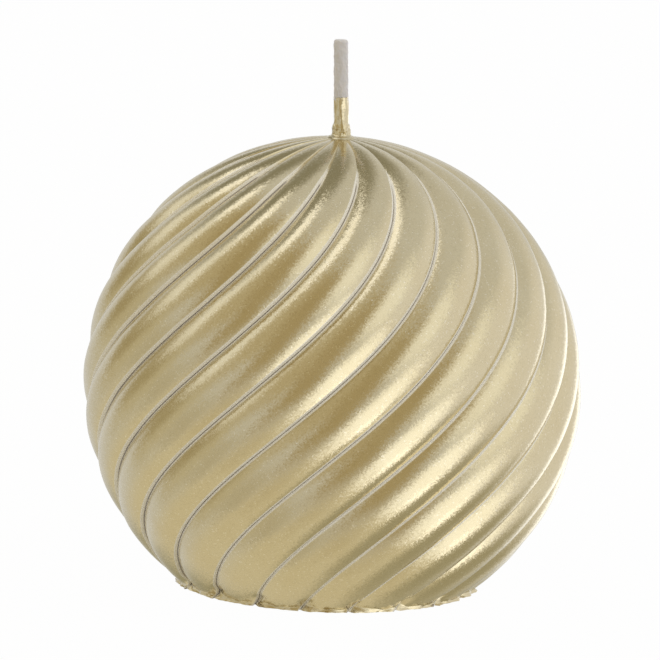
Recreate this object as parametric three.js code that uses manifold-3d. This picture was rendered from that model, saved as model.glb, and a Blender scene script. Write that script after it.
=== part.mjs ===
// A swirled ball candle. A cast wax ball with twisted lobes stands on a flat cut across its lower
// part. A thin metallic dip coat covers it, follows every lobe and climbs a little way up the wick.
// A braided wick runs through the ball on its axis, from a metal tab set into the base to a waxed
// end above the top. Nothing on it moves.
// Millimetres, +Z up, with the origin at the centre of the flat base.

import * as THREE from "three";
import { mergeVertices } from "three/addons/utils/BufferGeometryUtils.js";
import Module from "manifold-3d";

const wasm = await Module();
wasm.setup();

// Ball
const BALL_DIAMETER = 100; // over the tops of the lobes
const CENTRE_HEIGHT = 40; // the ball's centre above the flat base

// Lobes
const LOBES = 20;
const LIP_START = -75.7; // degrees, where the first lip leaves the top of the ball
const TWIST = 1.09; // degrees that a lip turns for each mm down, at the top
const TWIST_GAIN = 0.00376; // degrees per mm that the twist gains for each further mm down
const FOOT_SLOPE = 32; // degrees that a lobe leans where it rises from the foot of the step
const LIP_SLOPE = 24; // degrees that it falls away again where it reaches its lip
const STEP_WIDTH = 0.5; // width of the step below a lip, around the ball's widest level

// Dip coat
const COAT_THICKNESS = 1.0;
const COAT_GAP = 0.3; // between the wax and the coat
const COAT_CLIMB = 7.9; // height of the coat on the wick, above the ball
const BEAD_WIDTH = 0.4; // how far the bead where coat and wick meet stands out
const BEAD_HEIGHT = 2.4;
const RIM_WIDTH = 1.2; // how far the melted rim stands out at the base
const RIM_HEIGHT = 1.5;

// Wick
const BRAID_DIAMETER = 2.0;
const BRAID_CLEARANCE = 0.15; // between the braid and what is round it
const SLEEVE_WALL = 0.3; // thickness of the wax, and of the coat, round the braid
const WICK_HEIGHT = 19.2; // above the top of the ball
const TIP_ROUNDING = 0.45;

// Wick tab
const TAB_DIAMETER = 15;
const TAB_THICKNESS = 0.4;
const TAB_SETBACK = 0.5; // from the flat base up to the tab
const TAB_NECK_HEIGHT = 6;
const TAB_NECK_WALL = 0.4;
const SEAT_CLEARANCE = 0.3; // between the wax and the tab or braid in it

// Fineness of the faceted surfaces
const POINTS_PER_LOBE = 4;
const RINGS = 22;
const TURNED_SIDES = 24;
const COLUMNS = LOBES * POINTS_PER_LOBE;

// Sizes that follow from the ones above
const BALL_RADIUS = BALL_DIAMETER / 2;
const BALL_TOP = CENTRE_HEIGHT + BALL_RADIUS;
const BASE_RADIUS = Math.sqrt(BALL_RADIUS ** 2 - CENTRE_HEIGHT ** 2);
const LOBE_ANGLE = (2 * Math.PI) / LOBES;
const STEP_SHARE = STEP_WIDTH / (LOBE_ANGLE * BALL_RADIUS);
const BRAID_RADIUS = BRAID_DIAMETER / 2;
const SLEEVE_BORE = BRAID_RADIUS + BRAID_CLEARANCE;
const WICK_RADIUS = SLEEVE_BORE + SLEEVE_WALL;
const WICK_TIP = BALL_TOP + WICK_HEIGHT;
const COAT_TOP = BALL_TOP + COAT_CLIMB;
const TAB_TOP = TAB_SETBACK + TAB_THICKNESS;
const TAB_NECK_RADIUS = SLEEVE_BORE + TAB_NECK_WALL;
const TAB_NECK_TOP = TAB_TOP + TAB_NECK_HEIGHT;

const radians = THREE.MathUtils.degToRad;

// Colours and finishes as the candle shows them
const MATERIALS = {
  gold: new THREE.MeshStandardMaterial({ color: 0xcdc095, roughness: 0.34, metalness: 0.9 }),
  ivoryWax: new THREE.MeshStandardMaterial({ color: 0xefe6d0, roughness: 0.55, metalness: 0 }),
  cotton: new THREE.MeshStandardMaterial({ color: 0xe4dfd6, roughness: 0.9, metalness: 0 }),
  primingWax: new THREE.MeshStandardMaterial({ color: 0xd8d4d0, roughness: 0.4, metalness: 0 }),
  tinplate: new THREE.MeshStandardMaterial({ color: 0xb9bcbf, roughness: 0.35, metalness: 1 }),
};

// Solids

// A closed geometry made into a solid that can be joined and cut.
function solidOf(geometry) {
  const bare = geometry.clone();
  bare.deleteAttribute("normal");
  bare.deleteAttribute("uv");
  const merged = mergeVertices(bare, 1e-4);
  const vertProperties = new Float32Array(merged.getAttribute("position").array);
  const triVerts = new Uint32Array(merged.getIndex().array);
  return new wasm.Manifold(new wasm.Mesh({ numProp: 3, vertProperties, triVerts }));
}

function geometryOf(solid) {
  const { vertProperties, triVerts } = solid.getMesh();
  const geometry = new THREE.BufferGeometry();
  geometry.setAttribute("position", new THREE.BufferAttribute(vertProperties, 3));
  geometry.setIndex(new THREE.BufferAttribute(triVerts, 1));
  geometry.computeVertexNormals();
  return geometry;
}

// A solid of revolution about the candle's axis. The outline is a list of [radius, height] points
// that runs up the outside.
function turned(outline, sides = TURNED_SIDES) {
  const points = outline.map(([radius, height]) => new THREE.Vector2(radius, height));
  return new THREE.LatheGeometry(points, sides).rotateX(Math.PI / 2);
}

// Everything below the flat base, as a block to cut away.
function belowBase() {
  const size = 2 * BALL_DIAMETER;
  return solidOf(new THREE.BoxGeometry(size, size, size).translate(0, 0, -size / 2));
}

// The twisted lobes

// The angle round the ball, in radians, of the first lip at a drop below the top.
function lipAngle(drop) {
  return radians(LIP_START - TWIST * drop - (TWIST_GAIN * drop ** 2) / 2);
}

// The width of a lobe, measured square across it on the ball's surface.
function lobeWidth(polar) {
  const fromAxis = BALL_RADIUS * Math.sin(polar);
  const drop = BALL_RADIUS * (1 - Math.cos(polar));
  const twist = radians(TWIST + TWIST_GAIN * drop);
  const slant = Math.atan(twist * fromAxis * Math.sin(polar));
  return LOBE_ANGLE * fromAxis * Math.cos(slant);
}

// How far a lobe's face lies below the ball's full radius. Its section is an arc that rises from
// the foot of one step, at share 0, over its top and down to the lip of the next, at share 1.
function faceDepth(share, polar) {
  const foot = Math.sin(radians(FOOT_SLOPE));
  const lip = Math.sin(radians(LIP_SLOPE));
  const arcRadius = lobeWidth(polar) / (foot + lip);
  const slope = Math.asin(share * (foot + lip) - foot);
  return arcRadius * (1 - Math.cos(slope));
}

// The whole lobed ball, before the flat is cut, as rings of points whose columns follow the lips.
function lobedBall(radius) {
  const positions = [0, 0, CENTRE_HEIGHT + radius];
  for (let ring = 1; ring <= RINGS; ring += 1) {
    const polar = (Math.PI * ring) / (RINGS + 1);
    const start = lipAngle(BALL_RADIUS * (1 - Math.cos(polar)));
    for (let column = 0; column < COLUMNS; column += 1) {
      const lobe = Math.floor(column / POINTS_PER_LOBE);
      const share = (column % POINTS_PER_LOBE) / (POINTS_PER_LOBE - 1);
      const angle = start + LOBE_ANGLE * (lobe + share * (1 - STEP_SHARE));
      const reach = radius - faceDepth(share, polar);
      positions.push(
        reach * Math.sin(polar) * Math.cos(angle),
        reach * Math.sin(polar) * Math.sin(angle),
        CENTRE_HEIGHT + reach * Math.cos(polar),
      );
    }
  }
  positions.push(0, 0, CENTRE_HEIGHT - radius);

  const bottom = positions.length / 3 - 1;
  const at = (ring, column) => 1 + (ring - 1) * COLUMNS + (column % COLUMNS);
  const triangles = [];
  for (let column = 0; column < COLUMNS; column += 1) {
    triangles.push(0, at(1, column), at(1, column + 1));
    for (let ring = 1; ring < RINGS; ring += 1) {
      const upper = at(ring, column);
      const upperNext = at(ring, column + 1);
      const lower = at(ring + 1, column);
      const lowerNext = at(ring + 1, column + 1);
      triangles.push(upper, lower, lowerNext, upper, lowerNext, upperNext);
    }
    triangles.push(bottom, at(RINGS, column + 1), at(RINGS, column));
  }

  const geometry = new THREE.BufferGeometry();
  geometry.setAttribute("position", new THREE.Float32BufferAttribute(positions, 3));
  geometry.setIndex(triangles);
  return solidOf(geometry);
}

// Pieces

// The wax body, with the wick's hole through it and a recess for the tab in its flat base.
function waxCore() {
  const holeRadius = BRAID_RADIUS + SEAT_CLEARANCE;
  const neckHoleRadius = TAB_NECK_RADIUS + SEAT_CLEARANCE;
  const neckHoleTop = TAB_NECK_TOP + SEAT_CLEARANCE;
  const recessRadius = TAB_DIAMETER / 2 + SEAT_CLEARANCE;
  const recessTop = TAB_TOP + SEAT_CLEARANCE;
  const hole = turned([
    [0, -TAB_SETBACK],
    [recessRadius, -TAB_SETBACK],
    [recessRadius, recessTop],
    [neckHoleRadius, recessTop],
    [neckHoleRadius, neckHoleTop],
    [holeRadius, neckHoleTop],
    [holeRadius, BALL_TOP],
    [0, BALL_TOP],
  ]);
  const ball = lobedBall(BALL_RADIUS - COAT_THICKNESS - COAT_GAP);
  return ball.subtract(belowBase()).subtract(solidOf(hole));
}

// The dip coat: one skin over the ball, up the foot of the wick, and down to the melted rim that
// was left when the base was pressed flat on a hot plate.
function goldCoat() {
  const beadRadius = WICK_RADIUS + BEAD_WIDTH;
  const rimRadius = BASE_RADIUS + RIM_WIDTH;
  const climb = turned([
    [0, CENTRE_HEIGHT],
    [beadRadius, CENTRE_HEIGHT],
    [beadRadius, BALL_TOP + BEAD_HEIGHT / 2],
    [WICK_RADIUS, BALL_TOP + BEAD_HEIGHT],
    [WICK_RADIUS, COAT_TOP],
    [0, COAT_TOP],
  ]);
  const rimOutline = [
    [0, 0],
    [rimRadius, 0],
    [rimRadius, RIM_HEIGHT / 2],
    [BASE_RADIUS, RIM_HEIGHT],
    [0, RIM_HEIGHT],
  ];
  const rim = turned(rimOutline, COLUMNS);
  const bore = turned([
    [0, 0],
    [SLEEVE_BORE, 0],
    [SLEEVE_BORE, COAT_TOP + BEAD_HEIGHT],
    [0, COAT_TOP + BEAD_HEIGHT],
  ]);
  const outside = lobedBall(BALL_RADIUS).add(solidOf(climb)).add(solidOf(rim));
  const inside = lobedBall(BALL_RADIUS - COAT_THICKNESS).add(solidOf(bore));
  return outside.subtract(inside).subtract(belowBase());
}

// The cotton braid, from inside the tab's neck to just under the waxed tip.
function wickBraid() {
  return turned([
    [0, TAB_SETBACK],
    [BRAID_RADIUS, TAB_SETBACK],
    [BRAID_RADIUS, WICK_TIP - SLEEVE_WALL - BRAID_CLEARANCE],
    [0, WICK_TIP - SLEEVE_WALL - BRAID_CLEARANCE],
  ]);
}

// The wax that primes the bare end of the wick: a thin sleeve, closed over the tip.
function wickWax() {
  const foot = COAT_TOP + SEAT_CLEARANCE;
  return turned([
    [SLEEVE_BORE, foot],
    [WICK_RADIUS, foot],
    [WICK_RADIUS, WICK_TIP - TIP_ROUNDING],
    [WICK_RADIUS - TIP_ROUNDING, WICK_TIP],
    [0, WICK_TIP],
    [0, WICK_TIP - SLEEVE_WALL],
    [SLEEVE_BORE, WICK_TIP - SLEEVE_WALL],
    [SLEEVE_BORE, foot],
  ]);
}

// The tab: a pressed disc with a neck that grips the foot of the braid.
function wickTab() {
  const discRadius = TAB_DIAMETER / 2;
  return turned([
    [SLEEVE_BORE, TAB_SETBACK],
    [discRadius, TAB_SETBACK],
    [discRadius, TAB_TOP],
    [TAB_NECK_RADIUS, TAB_TOP],
    [TAB_NECK_RADIUS, TAB_NECK_TOP],
    [SLEEVE_BORE, TAB_NECK_TOP],
    [SLEEVE_BORE, TAB_SETBACK],
  ]);
}

// The candle

const candle = new THREE.Group();

function addPiece(name, geometry, material) {
  const mesh = new THREE.Mesh(geometry, material);
  mesh.name = name;
  candle.add(mesh);
}

addPiece("wax_core", geometryOf(waxCore()), MATERIALS.ivoryWax);
addPiece("gold_coat", geometryOf(goldCoat()), MATERIALS.gold);
addPiece("wick_braid", wickBraid(), MATERIALS.cotton);
addPiece("wick_wax", wickWax(), MATERIALS.primingWax);
addPiece("wick_tab", wickTab(), MATERIALS.tinplate);

export default candle;
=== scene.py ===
import math

import bmesh
import bpy
import numpy as np
from mathutils import Matrix, Vector, noise


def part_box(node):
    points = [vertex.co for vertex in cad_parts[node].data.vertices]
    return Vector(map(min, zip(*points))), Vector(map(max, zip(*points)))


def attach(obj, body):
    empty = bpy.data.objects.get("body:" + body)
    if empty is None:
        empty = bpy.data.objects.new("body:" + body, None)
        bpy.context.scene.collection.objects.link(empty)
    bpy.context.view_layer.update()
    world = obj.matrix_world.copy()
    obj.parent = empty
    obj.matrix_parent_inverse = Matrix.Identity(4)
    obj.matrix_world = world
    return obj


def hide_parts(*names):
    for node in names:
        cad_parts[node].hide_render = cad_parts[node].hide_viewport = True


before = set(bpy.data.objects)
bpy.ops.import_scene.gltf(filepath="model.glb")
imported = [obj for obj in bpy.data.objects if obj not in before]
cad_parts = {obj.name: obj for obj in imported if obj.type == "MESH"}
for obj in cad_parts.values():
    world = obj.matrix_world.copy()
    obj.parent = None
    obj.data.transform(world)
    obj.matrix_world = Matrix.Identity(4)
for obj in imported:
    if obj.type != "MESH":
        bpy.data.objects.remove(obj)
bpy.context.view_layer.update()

bl_info = {
    "name": "Ball candle",
    "version": (1, 0, 0),
    "blender": (4, 5, 0),
    "location": "3D View > Sidebar > Ball candle",
    "description": "Dresses a gold ball candle with twisted lobes: its coat, foot rim, wick and studio",
    "category": "Object",
}

MM = 0.001
BASE_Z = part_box("gold_coat")[0].z
COAT_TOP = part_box("gold_coat")[1].z
WICK_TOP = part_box("wick_wax")[1].z
# The wick leaves the ball this far below the top of the gold that climbs it.
WICK_FOOT = COAT_TOP - 7.9 * MM
SMOOTH_ANGLE = math.radians(60)
# Points nearer than this are joined, where a wall's sides or a turned piece's ends meet.
SEAM_GAP = 1e-6
TURNED_GAP = 1e-7

# Slope of a lobe's face against the ball, in degrees, at its foot and at its lip. Each lobe is a
# round roll. A row is one height, given as the drop below the ball's top in ball radii.
FACE_SLOPES = (
    (0.03, 14, 14),
    (0.12, 30, 28),
    (0.30, 39, 37),
    (0.50, 40, 39),
    (1.10, 39, 38),
    (1.40, 33, 33),
    (1.60, 24, 24),
    (1.78, 13, 13),
)
# Places across a lobe where the coat's mesh has a line of points, from foot to lip.
FACE_COLUMNS = (
    0.0, 0.012, 0.035, 0.08, 0.13, 0.19, 0.25, 0.31, 0.37, 0.43, 0.49, 0.55,
    0.61, 0.67, 0.73, 0.79, 0.85, 0.90, 0.94, 0.97, 0.988, 1.0,
)
# The rounded edge and wall of the step after the lip, as shares of its width and height.
STEP_COLUMNS = ((0.30, 0.18), (0.58, 0.42), (0.80, 0.70))
# The coat's inner wall has fewer points and a flatter relief, so the coat is thinner in the
# grooves. Its long faces dip up to 0.04 mm into the wax round the ball's widest part.
INNER_FACE_COLUMNS = (0.0, 0.19, 0.43, 0.67, 0.85, 0.97)
INNER_STEP_COLUMNS = ((0.8, 0.5),)
INNER_RELIEF = 0.62
# Rings of points in each wall, over the ball's body and at its foot.
OUTER_RINGS = (132, 17)
INNER_RINGS = (44, 5)
# Distances along the wall in mm: its first ring from the axis, the spacing of the rings by the
# wick and the end of that spacing, and the start of the foot's rings above the table and their
# end below it, where the wall is cut off.
TOP_START = 1.2
TOP_SPACING = 0.48
TOP_END = 6.0
FOOT_START = 4.4
FOOT_END = 0.6
# About how wide a lobe is square across its lips at the ball's widest level, as a share of its
# width along that level. It is 0.67 there, so the steps are a little lower than step_height.
SQUARE_WIDTH = 0.7
# Drops below the ball's top, in ball radii: where the grooves start to show, and how much
# further down they show fully.
GROOVE_START = 0.015
GROOVE_FADE = 0.10

# Colours in the gold lacquer: painted shade on flakes, painted glints on flakes, a painted highlight on
# the edges beside a groove, and painted shade as a hairline in the groove.
FLAKE_PAINTED_SHADE = "#8F8465"
FLAKE_PAINTED_GLINT = "#FFFBF0"
EDGE_PAINTED_HIGHLIGHT = "#FCFAF4"
GROOVE_PAINTED_SHADE = "#9C9390"

# The camera leans and looks down by these angles, from this far off, in metres.
VIEW_LEAN = math.radians(2.02)
VIEW_RISE = math.radians(9.92)
VIEW_DISTANCE = 0.997
SENSOR_WIDTH = 36
# Where the ball's centre lies from the middle of a picture of this width, in pixels.
PICTURE_WIDTH = 660
BALL_RIGHT = 2.25
BALL_DOWN = 54.06

# The tent's soft panels. Each has a direction and a height in degrees, the radii in degrees
# inside which it is full and outside which it ends, and its colour.
TENT_PANELS = (
    (0, -90, 30, 70, (0.77, 0.70, 0.52)),
    (100, -5, 30, 62, (0.92, 0.89, 0.84)),
    (45, 36, 10, 34, (1.12, 1.10, 1.02)),
    (-95, 2, 12, 42, (0.64, 0.58, 0.42)),
    (-112, 16, 8, 32, (0.46, 0.39, 0.23)),
    (-62, -26, 6, 26, (0.62, 0.57, 0.44)),
    (-102, 42, 12, 34, (1.02, 1.00, 0.93)),
    (-48, 44, 16, 42, (0.60, 0.52, 0.345)),
    (44, -24, 8, 38, (1.50, 1.48, 1.41)),
    (62, -44, 4, 14, (1.95, 1.92, 1.86)),
    (112, -54, 10, 36, (0.46, 0.42, 0.29)),
    (182, -40, 8, 28, (0.36, 0.33, 0.21)),
    (150, -12, 5, 20, (1.60, 1.59, 1.56)),
    (-158, 48, 8, 32, (0.30, 0.28, 0.20)),
    (-118, 62, 4, 16, (1.45, 1.43, 1.40)),
)
# The slit in the tent's front: its colour, and the angles in degrees from its middle at which
# it starts to show and shows fully.
SLIT_COLOUR = (0.50, 0.41, 0.235)
SLIT_START = 34
SLIT_FULL = 8


class CandleBall(bpy.types.PropertyGroup):
    """Sizes of the lobed ball."""

    diameter: bpy.props.FloatProperty(
        name="Ball diameter", description="Across the crowns of the lobes",
        default=99.6 * MM, unit="LENGTH",
    )
    centre_height: bpy.props.FloatProperty(
        name="Centre height", description="Height of the ball's centre above the table",
        default=0.04, unit="LENGTH",
    )
    lobes: bpy.props.IntProperty(
        name="Lobes", description="Number of twisted lobes round the ball", default=20,
    )
    first_lip: bpy.props.FloatProperty(
        name="First lip", description="Direction of the first lip at the ball's top",
        default=math.radians(-75.7), subtype="ANGLE",
    )
    twist: bpy.props.FloatProperty(
        name="Twist", description="Turn of the lips per ball radius of drop, at the top",
        default=math.radians(54.5), subtype="ANGLE",
    )
    twist_gain: bpy.props.FloatProperty(
        name="Twist gain", description="Growth of the twist per ball radius of drop",
        default=math.radians(9.4), subtype="ANGLE",
    )
    step_height: bpy.props.FloatProperty(
        name="Step height", description="Drop from a lip to the next lobe at the widest place",
        default=0.7 * MM, unit="LENGTH",
    )
    step_width: bpy.props.FloatProperty(
        name="Step width", description="Width of that drop, across the lips",
        default=0.45 * MM, unit="LENGTH",
    )
    coat: bpy.props.FloatProperty(
        name="Coat thickness", description="Thickness of the gold dip coat",
        default=1.0 * MM, unit="LENGTH",
    )
    rim_width: bpy.props.FloatProperty(
        name="Rim width", description="How far the melted foot rim stands out",
        default=1.2 * MM, unit="LENGTH",
    )
    rim_height: bpy.props.FloatProperty(
        name="Rim height", description="Height of the melted foot rim",
        default=2.4 * MM, unit="LENGTH",
    )


class CandleWick(bpy.types.PropertyGroup):
    """Sizes of the wick and the gold that climbs it."""

    radius: bpy.props.FloatProperty(
        name="Wick radius", description="Radius of the waxed wick",
        default=1.45 * MM, unit="LENGTH",
    )
    lean: bpy.props.FloatProperty(
        name="Wick lean", description="How far the wick's tip stands to the left",
        default=0.72 * MM, unit="LENGTH",
    )
    tip_rounding: bpy.props.FloatProperty(
        name="Tip rounding", description="Rounding of the dipped tip",
        default=0.45 * MM, unit="LENGTH",
    )
    bead_radius: bpy.props.FloatProperty(
        name="Bead radius", description="Radius of the bead where the wick leaves the ball",
        default=1.82 * MM, unit="LENGTH",
    )
    strand_radius: bpy.props.FloatProperty(
        name="Strand radius", description="Radius of one of the braid's three strands",
        default=0.29 * MM, unit="LENGTH",
    )
    plait_length: bpy.props.FloatProperty(
        name="Plait length", description="Length of braid in which a strand comes round again",
        default=9 * MM, unit="LENGTH",
    )


class CandleColours(bpy.types.PropertyGroup):
    """Colours of the finishes, as hex values."""

    gold: bpy.props.StringProperty(
        name="Gold", description="Metal pigment of the lacquer", default="#DBD2B6",
    )
    gold_deep: bpy.props.StringProperty(
        name="Deep gold", description="The lacquer where it lies thicker", default="#D2C5A2",
    )
    wax: bpy.props.StringProperty(
        name="Wax", description="The cast wax under the coat", default="#EFE6D2",
    )
    waxed_cotton: bpy.props.StringProperty(
        name="Waxed cotton", description="The primed wick", default="#DDDBE3",
    )
    cotton: bpy.props.StringProperty(
        name="Cotton", description="The bare braid", default="#E4DED2",
    )
    tin: bpy.props.StringProperty(
        name="Tin", description="The wick tab", default="#C9CACB",
    )


class CandleStudio(bpy.types.PropertyGroup):
    """The studio's floor and light."""

    floor_size: bpy.props.FloatProperty(
        name="Floor size", description="Side of the square floor", default=14.0, unit="LENGTH",
    )
    ambient: bpy.props.FloatProperty(
        name="Ambient", description="Brightness of the white tent", default=0.72, subtype="FACTOR",
    )
    slit_turn: bpy.props.FloatProperty(
        name="Slit direction", description="The slit's direction, in degrees right of the front",
        default=-10.0,
    )
    focal_length: bpy.props.FloatProperty(
        name="Focal length", description="Focal length of the camera, in millimetres",
        default=271.7, subtype="DISTANCE_CAMERA",
    )


def linear(code):
    """Turn an sRGB hex value into a linear colour."""
    values = [int(code[i:i + 2], 16) / 255 for i in (1, 3, 5)]
    return tuple(v / 12.92 if v <= 0.04045 else ((v + 0.055) / 1.055) ** 2.4 for v in values) + (1.0,)


def add(tree, kind, inputs=None, **settings):
    """Add a node with its settings, and set or link its inputs."""
    node = tree.nodes.new(kind)
    for name, value in settings.items():
        setattr(node, name, value)
    for key, value in (inputs or {}).items():
        socket = node.inputs[key]
        if isinstance(value, bpy.types.NodeSocket):
            tree.links.new(value, socket)
        else:
            socket.default_value = value
    return node


def object_place(tree):
    """The place of a shaded point, in the object's own coordinates."""
    return add(tree, "ShaderNodeTexCoord").outputs["Object"]


def cloudy(tree, place, size, detail, roughness=0.5):
    """Smooth noise in clouds of about this size."""
    node = add(
        tree, "ShaderNodeTexNoise",
        {"Vector": place, "Scale": 1 / size, "Detail": detail, "Roughness": roughness},
    )
    return node.outputs[0]


def blend(tree, factor, first, second):
    """Mix two colours."""
    node = add(
        tree, "ShaderNodeMix", {"Factor": factor, "A": first, "B": second}, data_type="RGBA",
    )
    return node.outputs["Result"]


def remap(tree, value, low, high, start=0.0, end=1.0, kind="LINEAR"):
    """Map a value from one range to another and hold it there."""
    node = add(
        tree, "ShaderNodeMapRange",
        {"Value": value, "From Min": low, "From Max": high, "To Min": start, "To Max": end},
        interpolation_type=kind,
    )
    return node.outputs["Result"]


def times(tree, first, second):
    """Multiply two values."""
    node = add(tree, "ShaderNodeMath", {0: first, 1: second}, operation="MULTIPLY")
    return node.outputs[0]


def dot(tree, first, second):
    """How far one direction points along another."""
    node = add(tree, "ShaderNodeVectorMath", {0: first, 1: second}, operation="DOT_PRODUCT")
    return node.outputs["Value"]


def bump(tree, height, strength, distance, **more):
    """The surface's normal, tilted as if the surface had this height."""
    inputs = {"Height": height, "Strength": strength, "Distance": distance}
    return add(tree, "ShaderNodeBump", inputs | more).outputs[0]


def new_material(name):
    """Start an empty node material and return it with its node tree."""
    material = bpy.data.materials.new(name)
    material.use_nodes = True
    material.node_tree.nodes.clear()
    return material, material.node_tree


def finish_material(material, surface):
    """Give the material its output."""
    add(material.node_tree, "ShaderNodeOutputMaterial", {"Surface": surface.outputs[0]})
    return material


def champagne_gold_lacquer(colours):
    """Metal flakes in a satin lacquer: a soft champagne sheen with a fine sandy sparkle, partly painted
    as glints and shade on flakes; highlights are painted beside the grooves and shade in them.
    """
    material, tree = new_material("champagne_gold_lacquer")
    place = object_place(tree)
    normal = add(tree, "ShaderNodeNewGeometry").outputs["Normal"]
    # Flakes of 0.1 mm are drawn at 0.25 mm, so that they show; each lies a little askew.
    flakes = add(tree, "ShaderNodeTexVoronoi", {"Vector": place, "Scale": 1 / (0.25 * MM)})
    askew = add(
        tree, "ShaderNodeVectorMath",
        {0: flakes.outputs["Color"], 1: (0.5, 0.5, 0.5)}, operation="SUBTRACT",
    )
    tilt = add(
        tree, "ShaderNodeVectorMath", {0: askew.outputs[0], "Scale": 0.11}, operation="SCALE",
    )
    turned = add(
        tree, "ShaderNodeVectorMath", {0: normal, 1: tilt.outputs[0]}, operation="ADD",
    )
    unit = add(tree, "ShaderNodeVectorMath", {0: turned.outputs[0]}, operation="NORMALIZE")
    # The dried lacquer has a faint orange-peel skin about 1.2 mm across.
    peel = cloudy(tree, place, 1.2 * MM, 4.0, 0.6)
    skin = bump(tree, peel, 0.22, 0.025 * MM, Normal=unit.outputs[0])
    thickness = cloudy(tree, place, 9 * MM, 3.0, 0.55)
    tone = blend(tree, thickness, linear(colours.gold), linear(colours.gold_deep))
    # Random single flakes are painted near white as painted glints, and others darker as painted shade:
    # a fine sandy grain.
    chance = add(tree, "ShaderNodeSeparateColor", {"Color": flakes.outputs["Color"]})
    painted_flake_shade = remap(tree, chance.outputs[0], 0.70, 1.0, end=0.13)
    tone = blend(tree, painted_flake_shade, tone, linear(FLAKE_PAINTED_SHADE))
    painted_flake_glint = remap(tree, chance.outputs[1], 0.93, 1.0, end=0.35)
    tone = blend(tree, painted_flake_glint, tone, linear(FLAKE_PAINTED_GLINT))
    # From 1 in the groove between two lobes to 0 at 1 mm from it.
    groove = add(tree, "ShaderNodeAttribute", attribute_name="groove").outputs["Fac"]
    # Painted highlight: the edges beside a groove are painted pale and made less metallic, standing in
    # for the white highlights along the lips.
    edge = remap(tree, groove, 0.42, 0.64, kind="SMOOTHSTEP")
    tone = blend(tree, edge, tone, linear(EDGE_PAINTED_HIGHLIGHT))
    metal = remap(tree, edge, 0.0, 1.0, 1.0, 0.0)
    # Painted shade: a grey hairline is painted in the groove itself, where shade falls between two
    # lobes.
    painted_groove_shade = remap(tree, groove, 0.90, 0.99, kind="SMOOTHSTEP")
    tone = blend(tree, painted_groove_shade, tone, linear(GROOVE_PAINTED_SHADE))
    shader = add(
        tree, "ShaderNodeBsdfPrincipled",
        {"Base Color": tone, "Metallic": metal, "Roughness": 0.2, "Coat Weight": 0.45,
         "Coat Roughness": 0.12, "Normal": skin},
    )
    return finish_material(material, shader)


def primed_cotton(colours):
    """Cotton soaked in wax: pale grey, milky, with a satin skin and faint strands."""
    material, tree = new_material("primed_cotton")
    strands = cloudy(tree, object_place(tree), 1.1 * MM, 5.0, 0.65)
    tone = blend(tree, strands, linear(colours.waxed_cotton), linear("#ECEAF0"))
    shader = add(
        tree, "ShaderNodeBsdfPrincipled",
        {"Base Color": tone, "Roughness": 0.45, "IOR": 1.44, "Subsurface Weight": 0.5,
         "Subsurface Radius": (1.0, 0.9, 0.8), "Subsurface Scale": 0.6 * MM,
         "Normal": bump(tree, strands, 0.6, 0.08 * MM)},
    )
    return finish_material(material, shader)


def cast_wax(colours):
    """Cast paraffin wax: ivory, faintly cloudy, with a soft satin skin."""
    material, tree = new_material("cast_wax")
    place = object_place(tree)
    cloud = cloudy(tree, place, 12 * MM, 4.0)
    grain = cloudy(tree, place, 1.5 * MM, 4.0)
    shader = add(
        tree, "ShaderNodeBsdfPrincipled",
        {"Base Color": blend(tree, cloud, linear(colours.wax), linear("#E2D7BE")),
         "Roughness": 0.42, "IOR": 1.44, "Subsurface Weight": 0.4,
         "Subsurface Radius": (1.0, 0.8, 0.6), "Subsurface Scale": 3 * MM,
         "Normal": bump(tree, grain, 0.5, 0.1 * MM)},
    )
    return finish_material(material, shader)


def bleached_cotton(colours):
    """Bleached cotton: matt, with soft diagonal bands of thread along each strand."""
    material, tree = new_material("bleached_cotton")
    bands = add(
        tree, "ShaderNodeTexWave",
        {"Vector": object_place(tree), "Scale": 1 / (4.4 * MM), "Distortion": 3.0, "Detail": 1.0},
        bands_direction="DIAGONAL",
    ).outputs["Fac"]
    shader = add(
        tree, "ShaderNodeBsdfPrincipled",
        {"Base Color": blend(tree, bands, linear("#BDB5A4"), linear(colours.cotton)),
         "Roughness": 0.85, "Normal": bump(tree, bands, 0.8, 0.15 * MM)},
    )
    return finish_material(material, shader)


def pressed_tinplate(colours):
    """Pressed tinplate: bright grey metal with fine rolling lines."""
    material, tree = new_material("pressed_tinplate")
    stretched = add(
        tree, "ShaderNodeMapping",
        {"Vector": object_place(tree), "Scale": (1 / (6 * MM), 1 / (0.3 * MM), 1 / (6 * MM))},
    )
    lines = add(
        tree, "ShaderNodeTexNoise", {"Vector": stretched.outputs[0], "Scale": 1.0},
    ).outputs[0]
    shader = add(
        tree, "ShaderNodeBsdfPrincipled",
        {"Base Color": linear(colours.tin), "Metallic": 1.0,
         "Roughness": remap(tree, lines, 0.0, 1.0, 0.22, 0.4),
         "Normal": bump(tree, lines, 0.3, 0.02 * MM)},
    )
    return finish_material(material, shader)


def white_floor():
    """Matt white paper, shown as near white with only the candle's soft shadow on it."""
    material, tree = new_material("white_paper")
    matt = add(tree, "ShaderNodeBsdfDiffuse", {"Color": (0.8, 0.8, 0.8, 1.0)})
    glow = add(tree, "ShaderNodeEmission", {"Color": (1.0, 1.0, 1.0, 1.0), "Strength": 1.0})
    rays = add(tree, "ShaderNodeLightPath")
    seen = times(tree, rays.outputs["Is Camera Ray"], 0.982)
    surface = add(
        tree, "ShaderNodeMixShader", {0: seen, 1: matt.outputs[0], 2: glow.outputs[0]},
    )
    return finish_material(material, surface)


def deselect_all():
    """Deselect every object, since the frame's nodes come in selected."""
    if bpy.context.mode != "OBJECT":
        bpy.ops.object.mode_set(mode="OBJECT")
    bpy.ops.object.select_all(action="DESELECT")


def select_only(piece):
    """Select this object alone and make it the active one."""
    deselect_all()
    piece.select_set(True)
    bpy.context.view_layer.objects.active = piece


def join_pieces(first, others):
    """Join other objects into the first one."""
    select_only(first)
    for piece in others:
        piece.select_set(True)
    bpy.ops.object.join()


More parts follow.
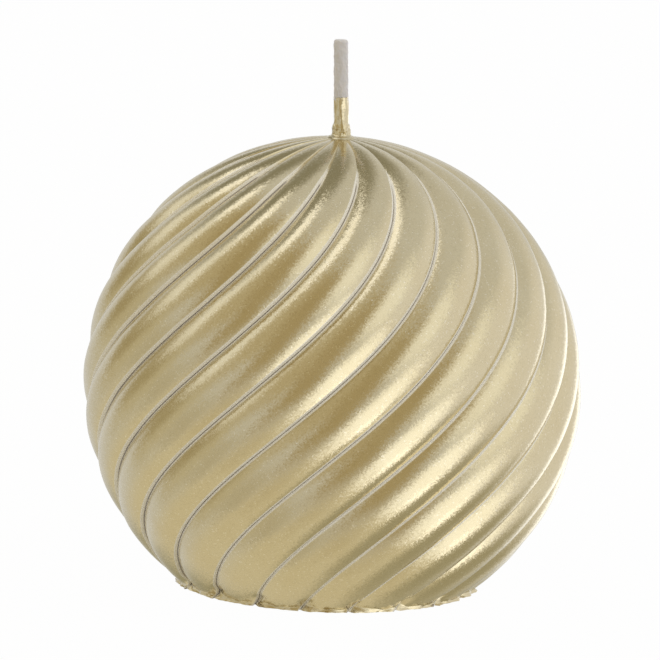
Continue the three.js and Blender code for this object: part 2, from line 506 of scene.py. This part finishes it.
def read_points(mesh):
    """The mesh's points as rows of x, y and z."""
    points = np.empty(len(mesh.vertices) * 3)
    mesh.vertices.foreach_get("co", points)
    return points.reshape(-1, 3)


def write_points(mesh, points):
    """Move the mesh's points to these places."""
    mesh.vertices.foreach_set("co", np.asarray(points, float).ravel())
    mesh.update()


def axis_distance(points):
    """Distance of each point from the candle's axis."""
    return np.hypot(points[:, 0], points[:, 1])


def axis_direction(points):
    """Direction of each point round the candle's axis."""
    return np.arctan2(points[:, 1], points[:, 0])


def scale_across(points, scale):
    """Move points nearer to the candle's axis or further from it."""
    points[:, :2] *= scale[:, None]


def settle(piece, name, material):
    """Name a finished piece, put its place into its mesh and give it its material."""
    piece.name = name
    piece.data.name = name
    select_only(piece)
    bpy.ops.object.transform_apply(location=True, rotation=True, scale=True)
    piece.data.materials.clear()
    piece.data.materials.append(material)
    return piece


def lobe_heights():
    """Height of a lobe's round face, per lobe width, on a fine grid of place and drop."""
    places = np.linspace(0, 1, 101)
    drops = np.array([row[0] for row in FACE_SLOPES])
    rows = []
    for _, foot, lip in FACE_SLOPES:
        foot, lip = math.sin(math.radians(foot)), math.sin(math.radians(lip))
        height = np.cos(np.arcsin(places * (foot + lip) - foot)) / (foot + lip)
        height -= height[0]
        rows.append(height - height[-1] * places)
    return places, drops, np.array(rows)


def face_height(share, drop, table):
    """Height of the face at a share of the lobe, before the step is laid over it."""
    places, drops, rows = table
    across = np.array([np.interp(share, places, row) for row in rows])
    # It stays just short of the last row, so that there is always a next one.
    where = np.clip(np.interp(drop, drops, np.arange(len(drops))), 0, len(drops) - 1.001)
    low = np.floor(where).astype(int)
    part = where - low
    index = np.arange(len(share))
    return across[low, index] * (1 - part) + across[low + 1, index] * part


def ring_angles(ball, radius, body_rings, foot_rings):
    """Polar angles of the coat's rings: closer at the wick and at the foot rim."""
    base = math.acos(-ball.centre_height / radius)
    foot_start = base - FOOT_START * MM / radius
    top = np.arange(TOP_START, TOP_END, TOP_SPACING) * MM / radius
    body = np.linspace(TOP_END * MM / radius, foot_start, body_rings)
    foot = np.linspace(foot_start, base + FOOT_END * MM / radius, foot_rings)
    return np.concatenate([top, body, foot[1:]])


def ripple(points, size, octaves=3):
    """Smooth noise at each point, for waves of about this size."""
    return np.array([noise.fractal(Vector(p) / size, 0.7, 2.0, octaves) for p in points])


def lobed_points(ball, radius, lines, column, polar, table):
    """Places of a coat wall's points, from their column and polar angle in the grid."""
    faces, steps = lines
    lobe, part = np.divmod(column, len(faces) + len(steps))
    drop = 1 - np.cos(polar)
    from_axis = radius * np.sin(polar)
    pitch = 2 * math.pi / ball.lobes
    twist = ball.twist + ball.twist_gain * drop
    slant = np.arctan(twist * np.sin(polar) ** 2)
    width = pitch * from_axis * np.cos(slant)
    widest = pitch * radius
    step_share = ball.step_width / widest
    on_face = part < len(faces)
    face = np.array(faces + (1.0,) * len(steps))[part]
    along = np.array((0.0,) * len(faces) + tuple(s[0] for s in steps))[part]
    down = np.array((0.0,) * len(faces) + tuple(s[1] for s in steps))[part]
    share = np.where(on_face, face * (1 - step_share), 1 - step_share + along * step_share)
    step = ball.step_height * width / (widest * SQUARE_WIDTH)
    height = face_height(face, drop, table) * width
    crown = np.max(
        [face_height(np.full(len(drop), s), drop, table) * width + s * step
         for s in np.linspace(0, 1, 21)], axis=0,
    )
    height = height + face * step - down * step
    reach = radius - (crown - height)
    lip = ball.first_lip - (ball.twist * drop + ball.twist_gain * drop ** 2 / 2)
    turn = lip + pitch * (lobe + share)
    place = np.stack(
        [reach * np.sin(polar) * np.cos(turn), reach * np.sin(polar) * np.sin(turn),
         ball.centre_height + reach * np.cos(polar)], axis=1,
    )
    # The groove's closeness, which fades out where the lobes run together at the wick. The lacquer
    # paints its edge highlights and groove shade from it.
    fading = np.clip((drop - GROOVE_START) / GROOVE_FADE, 0, 1)
    groove = np.clip(1 - np.minimum(share, 1 - share) * width / MM, 0, 1) * fading
    return place, lobe + share, groove


def melt_foot(ball, points, lobe_place):
    """Draw the coat's lowest part out into the melted rim that it stands on."""
    # Little pockets stay open above the rim where two lobes meet.
    pocket_depth, pocket_height, pocket_rise = 0.6 * MM, 2.0 * MM, 0.9 * MM
    pocket_share = 0.13
    seam = np.abs((lobe_place + 0.5) % 1 - 0.5)
    above = (points[:, 2] - pocket_height) / pocket_rise
    depth = np.exp(-(seam / pocket_share) ** 2 - above ** 2)
    scale_across(points, 1 - pocket_depth * depth / np.maximum(axis_distance(points), MM))
    # The rim wanders in long lumps, with small crumbs on it.
    lump_size, crumb_size, crumb_height = 5 * MM, 2.4 * MM, 0.55 * MM
    foot_radius = math.sqrt((ball.diameter / 2) ** 2 - ball.centre_height ** 2)
    low = np.flatnonzero(points[:, 2] < ball.rim_height * 2)
    part = points[low]
    across = axis_distance(part)
    turn = axis_direction(part)
    circle = np.stack([np.cos(turn), np.sin(turn), 0 * turn], axis=1) * foot_radius
    lumps = ripple(circle, lump_size)
    crumbs = ripple(part + 0.3, crumb_size)
    rim = foot_radius + ball.rim_width * (0.75 + 0.35 * lumps) + crumb_height * crumbs
    height = ball.rim_height * (0.6 + 0.5 * lumps + 0.4 * crumbs)
    near = np.clip(1 - part[:, 2] / height, 0, 1)
    near = near * near * (3 - 2 * near)
    scale = np.where(across < rim, 1 + (rim / np.maximum(across, MM) - 1) * near, 1)
    points[low, :2] *= scale[:, None]
    return points


class CANDLE_OT_gold_coat(bpy.types.Operator):
    """Model the gold dip coat over the ball, with its twisted lobes and melted foot rim"""

    bl_idname = "candle.gold_coat"
    bl_label = "Gold coat"

    def execute(self, context):
        ball = context.scene.candle_ball
        table = lobe_heights()
        radius = ball.diameter / 2
        lines = (FACE_COLUMNS, STEP_COLUMNS)
        outer = self.wall(ball, radius, lines, OUTER_RINGS, table, melted=True)
        lines = (INNER_FACE_COLUMNS, INNER_STEP_COLUMNS)
        flatter = table[:2] + (table[2] * INNER_RELIEF,)
        inner = self.wall(ball, radius - ball.coat, lines, INNER_RINGS, flatter)
        select_only(inner)
        bpy.ops.object.mode_set(mode="EDIT")
        bpy.ops.mesh.select_all(action="SELECT")
        bpy.ops.mesh.flip_normals()
        bpy.ops.object.mode_set(mode="OBJECT")
        join_pieces(outer, [inner])
        self.close_between(outer, lambda z: z > ball.centre_height)
        self.close_between(outer, lambda z: z < ball.centre_height)
        coat = settle(outer, "gold_dip_coat", champagne_gold_lacquer(context.scene.candle_colours))
        bpy.ops.object.shade_smooth_by_angle(angle=SMOOTH_ANGLE)
        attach(coat, "root")
        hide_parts("gold_coat")
        return {"FINISHED"}

    def wall(self, ball, radius, lines, rings, table, melted=False):
        """One lobed wall of the coat, open at the wick and cut flat at the table."""
        angles = ring_angles(ball, radius, *rings)
        columns = ball.lobes * (len(lines[0]) + len(lines[1]))
        deselect_all()
        bpy.ops.mesh.primitive_grid_add(
            x_subdivisions=columns, y_subdivisions=len(angles) - 1, size=2,
        )
        wall = bpy.context.object
        sheet = read_points(wall.data)
        column = np.rint((sheet[:, 0] + 1) / 2 * columns).astype(int)
        polar = angles[np.rint((1 - sheet[:, 1]) / 2 * (len(angles) - 1)).astype(int)]
        placed, lobe_place, groove = lobed_points(ball, radius, lines, column, polar, table)
        if melted:
            placed = self.wave(ball, melt_foot(ball, placed, lobe_place))
        near = wall.data.attributes.new("groove", "FLOAT", "POINT")
        near.data.foreach_set("value", groove.astype(np.float32))
        write_points(wall.data, placed)
        self.close_round(wall)
        return wall

    def wave(self, ball, points):
        """Sink the cast skin a little here and there, as wax does when it cools."""
        outward = points - np.array([0, 0, ball.centre_height])
        outward /= np.linalg.norm(outward, axis=1, keepdims=True)
        wave_size, wave_depth = 14, 0.10
        above_rim = np.clip((points[:, 2] - 1.5 * MM) / (3 * MM), 0, 1)
        depth = np.abs(ripple(points, wave_size * MM, 2)) * wave_depth * MM * above_rim
        return points - outward * depth[:, None]

    def close_round(self, wall):
        """Join the wall's two side edges, and cut it flat at the table."""
        bpy.ops.object.mode_set(mode="EDIT")
        bpy.ops.mesh.select_all(action="SELECT")
        bpy.ops.mesh.remove_doubles(threshold=SEAM_GAP)
        bpy.ops.mesh.select_all(action="SELECT")
        bpy.ops.mesh.bisect(
            plane_co=(0, 0, BASE_Z), plane_no=(0, 0, 1), clear_inner=True, threshold=1e-7,
        )
        bpy.ops.object.mode_set(mode="OBJECT")

    def close_between(self, coat, here):
        """Close the coat between its outer and inner wall, where both are open."""
        net = bmesh.new()
        net.from_mesh(coat.data)
        rest = {v for e in net.edges if e.is_boundary for v in e.verts if here(v.co.z)}
        loops = []
        while rest:
            # Walk each open ring along its own edges, since it doubles back under the lips.
            ring = [rest.pop()]
            ahead = True
            while ahead:
                ends = [e.other_vert(ring[-1]) for e in ring[-1].link_edges if e.is_boundary]
                ahead = [v for v in ends if v in rest]
                ring += ahead[:1]
                rest -= set(ahead[:1])
            area = sum(
                v.co.x * w.co.y - w.co.x * v.co.y for v, w in zip(ring, ring[1:] + ring[:1])
            )
            if area < 0:
                ring.reverse()
            first = min(range(len(ring)), key=lambda i: math.atan2(ring[i].co.y, ring[i].co.x))
            loops.append(ring[first:] + ring[:first])
        inner, outer = sorted(loops, key=len)
        o = i = 0
        while o < len(outer) or i < len(inner):
            a, b = outer[o % len(outer)], inner[i % len(inner)]
            if i == len(inner) or (o < len(outer) and o / len(outer) <= i / len(inner)):
                o += 1
                corners = (a, b, outer[o % len(outer)])
            else:
                i += 1
                corners = (a, b, inner[i % len(inner)])
            net.faces.new(corners)
        bmesh.ops.recalc_face_normals(net, faces=net.faces)
        net.to_mesh(coat.data)
        net.free()
        coat.data.update()


def turned_piece(name, profile, steps, material):
    """Spin a closed profile, or one that ends on the axis, into a round piece; r and z are in mm."""
    deselect_all()
    bpy.ops.mesh.primitive_circle_add(vertices=len(profile))
    piece = bpy.context.object
    write_points(piece.data, [(r * MM, 0, z * MM) for r, z in profile])
    bpy.ops.object.mode_set(mode="EDIT")
    bpy.ops.mesh.select_all(action="DESELECT")
    net = bmesh.from_edit_mesh(piece.data)
    for edge in net.edges:
        edge.select = all(v.co.x < 1e-6 for v in edge.verts)
    bmesh.update_edit_mesh(piece.data)
    bpy.ops.mesh.delete(type="EDGE")
    bpy.ops.mesh.select_all(action="SELECT")
    bpy.ops.mesh.spin(steps=steps, angle=2 * math.pi, center=(0, 0, 0), axis=(0, 0, 1))
    bpy.ops.mesh.select_all(action="SELECT")
    bpy.ops.mesh.remove_doubles(threshold=TURNED_GAP)
    bpy.ops.mesh.normals_make_consistent(inside=False)
    bpy.ops.object.mode_set(mode="OBJECT")
    return settle(piece, name, material)


def filled(profile, gap):
    """Add points to a profile so that none are further apart than this, in mm."""
    points = []
    for (r1, z1), (r2, z2) in zip(profile, profile[1:] + profile[:1]):
        parts = max(1, round(math.hypot(r2 - r1, z2 - z1) / gap))
        points += [(r1 + (r2 - r1) * i / parts, z1 + (z2 - z1) * i / parts) for i in range(parts)]
    return points


def lean_wick(points, wick):
    """Lean the wick a little to the left from where it leaves the ball."""
    rise = (points[:, 2] - WICK_FOOT) / (WICK_TOP - WICK_FOOT)
    points[:, 0] -= np.clip(rise, 0, None) * wick.lean
    return points


class CANDLE_OT_gold_on_wick(bpy.types.Operator):
    """Model the gold that climbs the wick, with the bead where it leaves the ball"""

    bl_idname = "candle.gold_on_wick"
    bl_label = "Gold on the wick"

    def execute(self, context):
        wick = context.scene.candle_wick
        thick, bead, bore = wick.radius / MM, wick.bead_radius / MM, 1.15
        foot, top = WICK_FOOT / MM, COAT_TOP / MM
        profile = [
            (bore, foot - 1.2), (3.0, foot - 0.35), (2.5, foot + 0.02), (2.1, foot + 0.12),
            (1.85, foot + 0.4), (bead, foot + 0.9), (bead, foot + 1.7), (bead - 0.14, foot + 2.2),
            (thick + 0.06, foot + 2.6), (thick, foot + 3.4), (thick, top - 0.3),
            (thick + 0.03, top - 0.05), (thick - 0.01, top - 0.05), (thick - 0.01, top - 0.8),
            (bore, top - 1.0),
        ]
        gold = champagne_gold_lacquer(context.scene.candle_colours)
        coat = turned_piece("gold_on_wick", filled(profile, 0.16), 84, gold)
        points = read_points(coat.data)
        rim = axis_distance(points)
        turn = axis_direction(points)
        outside = np.clip((rim / MM - 1.2) / 0.2, 0, 1)
        # The braid's strands show through as long flutes, with small runs of lacquer over them.
        # In mm: how far flutes, lumps on the bead and lumps elsewhere stand out, and the bead's
        # height above the ball and its reach.
        flute_relief, bead_relief, lump_relief = 0.17, 0.26, 0.03
        bead_height, bead_reach = 1.2, 0.9
        round_wick = np.stack([np.cos(turn), np.sin(turn), points[:, 2] / MM / 5.0], axis=1)
        flutes = ripple(round_wick * MM, 0.8 * MM, 2) * flute_relief
        height = points[:, 2] / MM - foot
        on_bead = np.exp(-((height - bead_height) / bead_reach) ** 2)
        lumps = ripple(points, 0.9 * MM, 3)
        change = flutes + on_bead * lumps * bead_relief + lumps * lump_relief
        change = change * outside * MM
        scale_across(points, 1 + np.where(height > 0.3, change, 0) / np.maximum(rim, MM))
        edge = ripple(round_wick * MM + 0.7, 0.8 * MM, 3) * 0.5 * MM
        near_top = np.clip((height - 6.6) / 1.2, 0, 1)
        points[:, 2] += np.minimum(edge, 0.03 * MM) * near_top
        write_points(coat.data, lean_wick(points, wick))
        bpy.ops.object.shade_smooth_by_angle(angle=SMOOTH_ANGLE)
        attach(coat, "root")
        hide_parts("gold_coat")
        return {"FINISHED"}


class CANDLE_OT_waxed_wick(bpy.types.Operator):
    """Model the waxed wick above the gold: a milky sleeve with a dipped, rounded tip"""

    bl_idname = "candle.waxed_wick"
    bl_label = "Waxed wick"

    def execute(self, context):
        wick = context.scene.candle_wick
        thick, bore, cap = wick.radius / MM - 0.02, 1.12, 0.28
        # The sleeve's foot stands in the gold's socket.
        tip, low = WICK_TOP / MM, COAT_TOP / MM - 0.75
        soft = wick.tip_rounding / MM
        corner = [
            (thick - soft * (1 - math.cos(a)), tip - soft * (1 - math.sin(a)))
            for a in np.radians(np.arange(75, -1, -15))
        ]
        profile = [(0, tip), (thick - soft, tip)] + corner + [
            (thick, low), (bore, low), (bore, tip - cap), (0, tip - cap),
        ]
        waxed = primed_cotton(context.scene.candle_colours)
        sleeve = turned_piece("waxed_wick", filled(profile, 0.15), 72, waxed)
        points = read_points(sleeve.data)
        rim = axis_distance(points)
        outside = np.clip((rim / MM - 1.15) / 0.15, 0, 1)
        lumps = ripple(points * (1, 1, 0.6), 0.7 * MM, 4)
        lump_relief, shrink = 0.11, 0.03
        change = (lumps * lump_relief - shrink) * MM * outside
        scale_across(points, 1 + change / np.maximum(rim, MM))
        write_points(sleeve.data, lean_wick(points, wick))
        bpy.ops.object.shade_smooth_by_angle(angle=SMOOTH_ANGLE)
        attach(sleeve, "root")
        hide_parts("wick_wax")
        return {"FINISHED"}


class CANDLE_OT_wick_braid(bpy.types.Operator):
    """Plait the cotton braid from three strands, from the wick tab to the wick's tip"""

    bl_idname = "candle.wick_braid"
    bl_label = "Wick braid"

    def execute(self, context):
        wick = context.scene.candle_wick
        low, high = (corner.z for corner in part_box("wick_braid"))
        end_gap = 0.3 * MM
        length = high - low - 2 * end_gap
        deselect_all()
        bpy.ops.mesh.primitive_cylinder_add(
            vertices=8, radius=wick.strand_radius, depth=length,
            location=(0, 0, low + end_gap + length / 2),
        )
        strand = context.object
        bpy.ops.object.transform_apply(location=True, rotation=True, scale=True)
        # Cut its long edges into twelve, and each of those into twelve again.
        for _ in range(2):
            bpy.ops.object.mode_set(mode="EDIT")
            bpy.ops.mesh.select_all(action="DESELECT")
            net = bmesh.from_edit_mesh(strand.data)
            for edge in net.edges:
                edge.select = abs(edge.verts[0].co.z - edge.verts[1].co.z) > 0.1 * MM
            bmesh.update_edit_mesh(strand.data)
            bpy.ops.mesh.subdivide(number_cuts=11)
            bpy.ops.object.mode_set(mode="OBJECT")
        straight = read_points(strand.data)
        strands = [strand]
        for _ in range(2):
            copy = strand.copy()
            copy.data = strand.data.copy()
            context.collection.objects.link(copy)
            strands.append(copy)
        # A strand swings twice through the braid's depth while it swings once across it. The
        # strands run 0.06 mm into each other where they pass.
        across, depth = 0.62 * MM, 0.30 * MM
        for number, piece in enumerate(strands):
            points = straight.copy()
            turn = 2 * math.pi * (points[:, 2] / wick.plait_length + number / 3)
            points[:, 0] += across * np.sin(turn)
            points[:, 1] += depth * np.sin(2 * turn)
            write_points(piece.data, lean_wick(points, wick))
        join_pieces(strand, strands[1:])
        braid = settle(strand, "plaited_braid", bleached_cotton(context.scene.candle_colours))
        bpy.ops.object.shade_smooth_by_angle(angle=SMOOTH_ANGLE)
        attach(braid, "root")
        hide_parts("wick_braid")
        return {"FINISHED"}


class CANDLE_OT_hidden_parts(bpy.types.Operator):
    """Finish the wax ball and the wick tab, whose solids keep their shape"""

    bl_idname = "candle.hidden_parts"
    bl_label = "Wax ball and wick tab"

    def execute(self, context):
        colours = context.scene.candle_colours
        finishes = {
            "wax_core": cast_wax(colours),
            "wick_tab": pressed_tinplate(colours),
        }
        for name, material in finishes.items():
            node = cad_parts[name]
            for place in node.material_slots:
                place.material = material
        return {"FINISHED"}


class CANDLE_OT_studio(bpy.types.Operator):
    """Set the camera, the white floor and the soft light"""

    bl_idname = "candle.studio"
    bl_label = "Studio"

    def execute(self, context):
        studio = context.scene.candle_studio
        self.place_camera(context, studio)
        deselect_all()
        # A hair below the base, so that no two faces lie in one plane.
        bpy.ops.mesh.primitive_plane_add(size=studio.floor_size, location=(0, 0, -0.05 * MM))
        floor = settle(context.object, "studio_floor", white_floor())
        floor.visible_glossy = False
        self.light_world(context, studio)
        context.scene.view_settings.view_transform = "Standard"
        return {"FINISHED"}

    def place_camera(self, context, studio):
        """Look at the ball from the front and a little above, with the candle leaning right."""
        ball = context.scene.candle_ball
        right = Vector((math.cos(VIEW_LEAN), 0, math.sin(VIEW_LEAN)))
        flat = math.cos(VIEW_RISE)
        up = Vector((-math.sin(VIEW_LEAN) * flat, math.sin(VIEW_RISE), math.cos(VIEW_LEAN) * flat))
        back = right.cross(up)
        centre = Vector((0, 0, ball.centre_height))
        place = centre + back * VIEW_DISTANCE
        pixel = SENSOR_WIDTH / PICTURE_WIDTH / studio.focal_length
        # The ball's centre lies right of and below the middle of the picture.
        aim = -back + up * (BALL_DOWN * pixel) - right * (BALL_RIGHT * pixel)
        back = -aim.normalized()
        right = up.cross(back).normalized()
        up = back.cross(right)
        bpy.ops.object.camera_add()
        camera = context.object
        camera.name = "camera"
        camera.data.lens = studio.focal_length
        camera.data.clip_start = 0.01
        camera.data.clip_end = 100
        turned = Matrix((right, up, back)).transposed().to_4x4()
        camera.matrix_world = Matrix.Translation(place) @ turned
        context.scene.camera = camera

    def light_world(self, context, studio):
        """A white tent with soft panels, darker where the camera stands."""
        world = bpy.data.worlds.new("light_tent")
        world.use_nodes = True
        tree = world.node_tree
        tree.nodes.clear()
        toward = add(tree, "ShaderNodeTexCoord").outputs["Generated"]
        level = studio.ambient
        colour = (level, level * 0.98, level * 0.92, 1.0)
        for turn, rise, inner, outer, shade in TENT_PANELS:
            a, e = math.radians(turn), math.radians(rise)
            middle = (math.sin(a) * math.cos(e), -math.cos(a) * math.cos(e), math.sin(e))
            ends, full = math.cos(math.radians(outer)), math.cos(math.radians(inner))
            reach = remap(tree, dot(tree, toward, middle), ends, full, kind="SMOOTHSTEP")
            colour = blend(tree, reach, colour, shade + (1.0,))
        colour = self.lay_slit(tree, toward, colour, math.radians(studio.slit_turn))
        tent = add(tree, "ShaderNodeBackground", {"Color": colour, "Strength": 1.0})
        white = add(tree, "ShaderNodeBackground", {"Color": (1, 1, 1, 1), "Strength": 1.0})
        rays = add(tree, "ShaderNodeLightPath")
        seen = add(
            tree, "ShaderNodeMixShader",
            {0: rays.outputs["Is Camera Ray"], 1: tent.outputs[0], 2: white.outputs[0]},
        )
        add(tree, "ShaderNodeOutputWorld", {"Surface": seen.outputs[0]})
        context.scene.world = world

    def lay_slit(self, tree, toward, colour, turn):
        """Lay the slit in the tent's front over its colour, with the darker room behind it."""
        across = dot(tree, toward, (math.cos(turn), math.sin(turn), 0))
        off = add(tree, "ShaderNodeMath", {0: across}, operation="ABSOLUTE").outputs[0]
        start, full = math.sin(math.radians(SLIT_START)), math.sin(math.radians(SLIT_FULL))
        narrow = remap(tree, off, start, full, kind="SMOOTHSTEP")
        ahead = dot(tree, toward, (math.sin(turn), -math.cos(turn), 0))
        front = remap(tree, ahead, 0.25, 0.55, kind="SMOOTHSTEP")
        # Towards the floor the slit fades to a quarter of its strength.
        tall = dot(tree, toward, (0, 0, 1))
        high = remap(tree, tall, -0.65, -0.05, start=0.25, kind="SMOOTHSTEP")
        strength = times(tree, times(tree, narrow, front), high)
        return blend(tree, strength, colour, SLIT_COLOUR + (1.0,))


class CANDLE_PT_panel(bpy.types.Panel):
    """Lists the candle's sizes, colours and steps"""

    bl_idname = "CANDLE_PT_panel"
    bl_label = "Ball candle"
    bl_space_type = "VIEW_3D"
    bl_region_type = "UI"
    bl_category = "Ball candle"

    def draw(self, context):
        for name in ("candle_ball", "candle_wick", "candle_colours", "candle_studio"):
            group = getattr(context.scene, name)
            box = self.layout.box()
            for prop in group.bl_rna.properties:
                if prop.identifier not in ("rna_type", "name"):
                    box.prop(group, prop.identifier)
        for operator in OPERATORS:
            self.layout.operator(operator.bl_idname)


GROUPS = {
    "candle_ball": CandleBall,
    "candle_wick": CandleWick,
    "candle_colours": CandleColours,
    "candle_studio": CandleStudio,
}
OPERATORS = (
    CANDLE_OT_studio, CANDLE_OT_gold_coat, CANDLE_OT_gold_on_wick, CANDLE_OT_waxed_wick,
    CANDLE_OT_wick_braid, CANDLE_OT_hidden_parts,
)


def register():
    """Register the groups, the operators and the panel."""
    for name, group in GROUPS.items():
        bpy.utils.register_class(group)
        setattr(bpy.types.Scene, name, bpy.props.PointerProperty(type=group))
    for item in OPERATORS + (CANDLE_PT_panel,):
        bpy.utils.register_class(item)


def unregister():
    """Take them out again."""
    for item in reversed(OPERATORS + (CANDLE_PT_panel,)):
        bpy.utils.unregister_class(item)
    for name, group in GROUPS.items():
        delattr(bpy.types.Scene, name)
        bpy.utils.unregister_class(group)


def main():
    """Dress the candle."""
    register()
    bpy.ops.candle.studio()
    bpy.ops.candle.gold_coat()
    bpy.ops.candle.gold_on_wick()
    bpy.ops.candle.waxed_wick()
    bpy.ops.candle.wick_braid()
    bpy.ops.candle.hidden_parts()


if __name__ == "__main__":
    main()
